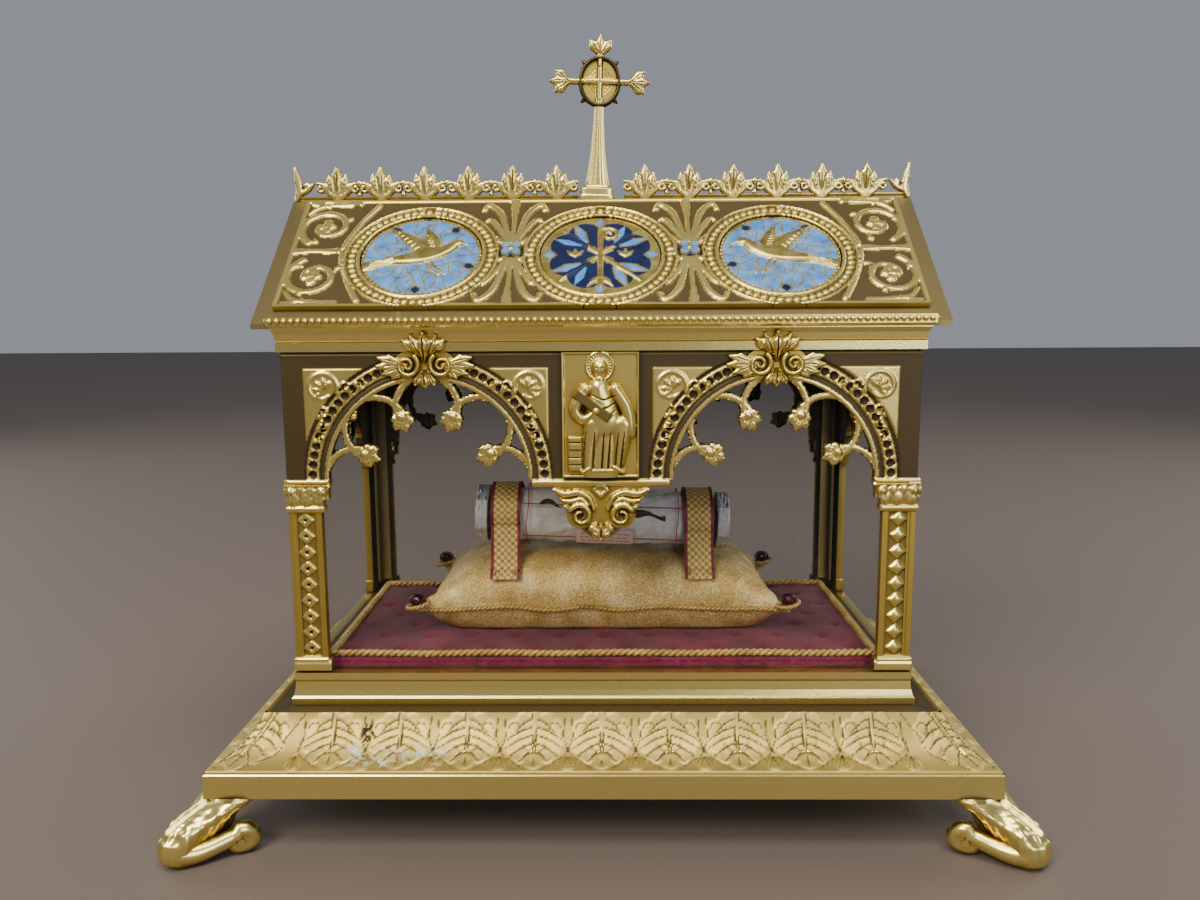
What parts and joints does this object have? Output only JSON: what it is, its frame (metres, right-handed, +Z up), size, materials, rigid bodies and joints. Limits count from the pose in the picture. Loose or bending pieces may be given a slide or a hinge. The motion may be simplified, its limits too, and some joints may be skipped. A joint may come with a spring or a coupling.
{
  "type": "reliquary casket",
  "caption": "Gilt brass and glass reliquary casket with a gabled, enamelled roof, pierced arcades, a cross, and a glass tube tied on a gold cushion",
  "frame": {"origin": "on the table, under the middle of the casket", "axes": "+Z up, +X along the long side to the viewer's right, -Y towards the viewer at the relief's side"},
  "size_m": [0.4054, 0.2554, 0.3919],
  "materials": {
    "gilt_brass": "cast brass, gilded, with dark patina in the hollows",
    "brown_brass": "brass sheet, brown and dull",
    "pale_brass": "engraved brass, satin",
    "dark_brass": "cast brass, darkened",
    "light_enamel": "light and dark blue enamel with gold lines, glossy",
    "dark_enamel": "dark blue enamel with gold lines, glossy",
    "clear_glass": "clear sheet glass and clear glass tube",
    "velvet": "burgundy velvet with a magenta satin edge",
    "gold_braid": "metallic gold cord",
    "gold_lame": "gold fabric with a sparkling weft",
    "checked_ribbon": "gold and cream checked galon with dark red edges",
    "garnet_button": "dark red pressed-glass button",
    "silver_foil": "crumpled foil",
    "label_paper": "pinkish paper"
  },
  "bodies": {
    "root": {"base_plinth": "gilt_brass", "foot_front_right": "gilt_brass", "foot_back_right": "gilt_brass", "foot_back_left": "gilt_brass", "foot_front_left": "gilt_brass", "sill_moulding": "gilt_brass", "front_arcade": "gilt_brass", "back_arcade": "gilt_brass", "right_arcade": "gilt_brass", "left_arcade": "gilt_brass", "relief_plaque": "gilt_brass", "back_plaque": "gilt_brass", "front_palmette_left": "gilt_brass", "front_palmette_right": "gilt_brass", "back_palmette_left": "gilt_brass", "back_palmette_right": "gilt_brass", "cornice": "gilt_brass", "ridge_cresting_right": "gilt_brass", "ridge_cresting_left": "gilt_brass", "cross": "gilt_brass", "roof_shell": "brown_brass", "gable_right": "brown_brass", "gable_left": "brown_brass", "glazing_channel_front_right": "brown_brass", "glazing_channel_back_right": "brown_brass", "glazing_channel_back_left": "brown_brass", "glazing_channel_front_left": "brown_brass", "front_roof_plate": "pale_brass", "back_roof_plate": "pale_brass", "cross_ring": "dark_brass", "front_enamel_left": "light_enamel", "front_enamel_right": "light_enamel", "back_enamel_left": "light_enamel", "back_enamel_right": "light_enamel", "front_boss_left": "light_enamel", "front_boss_right": "light_enamel", "back_boss_left": "light_enamel", "back_boss_right": "light_enamel", "front_enamel_middle": "dark_enamel", "back_enamel_middle": "dark_enamel", "front_pane": "clear_glass", "back_pane": "clear_glass", "right_pane": "clear_glass", "left_pane": "clear_glass", "relic_tube": "clear_glass", "floor_pad": "velvet", "floor_braid": "gold_braid", "cushion_piping": "gold_braid", "cushion": "gold_lame", "ribbon_left": "checked_ribbon", "ribbon_right": "checked_ribbon", "cushion_button_front_left": "garnet_button", "cushion_button_front_right": "garnet_button", "cushion_button_back_right": "garnet_button", "cushion_button_back_left": "garnet_button", "foil_cap_left": "silver_foil", "foil_cap_right": "silver_foil", "label": "label_paper"}
  },
  "joints": []
}
